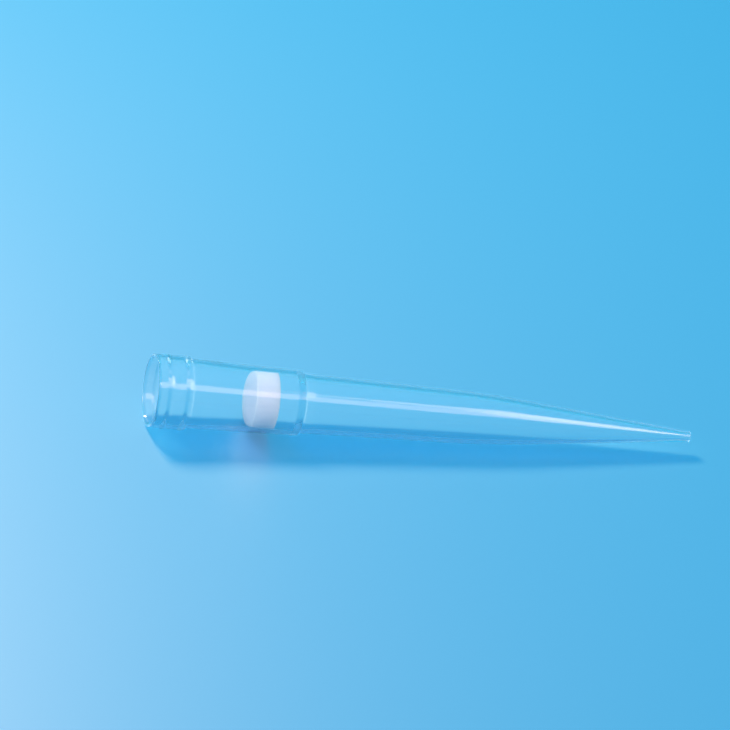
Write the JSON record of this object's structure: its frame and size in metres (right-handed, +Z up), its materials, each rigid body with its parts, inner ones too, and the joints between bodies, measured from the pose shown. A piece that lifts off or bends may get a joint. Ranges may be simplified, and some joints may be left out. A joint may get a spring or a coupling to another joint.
{
  "type": "filter pipette tip",
  "caption": "Clear tapered pipette tip with a stepped collar and a white porous plug in its bore, lying on its side.",
  "frame": {"origin": "on the floor the tip lies on, under the middle of its length and width", "axes": "+X along the tip from the mouth to the point, +Z up; the tip's own axis lies 2.2 degrees below +X, because it rests on its collar and on its taper"},
  "size_m": [0.0722, 0.0096, 0.0097],
  "materials": {
    "clear_plastic": "clear natural moulded plastic, smooth gloss",
    "porous_plug": "white sintered plastic, matte and finely porous"
  },
  "bodies": {
    "root": {"tip_body": "clear_plastic", "filter": "porous_plug"}
  },
  "joints": []
}
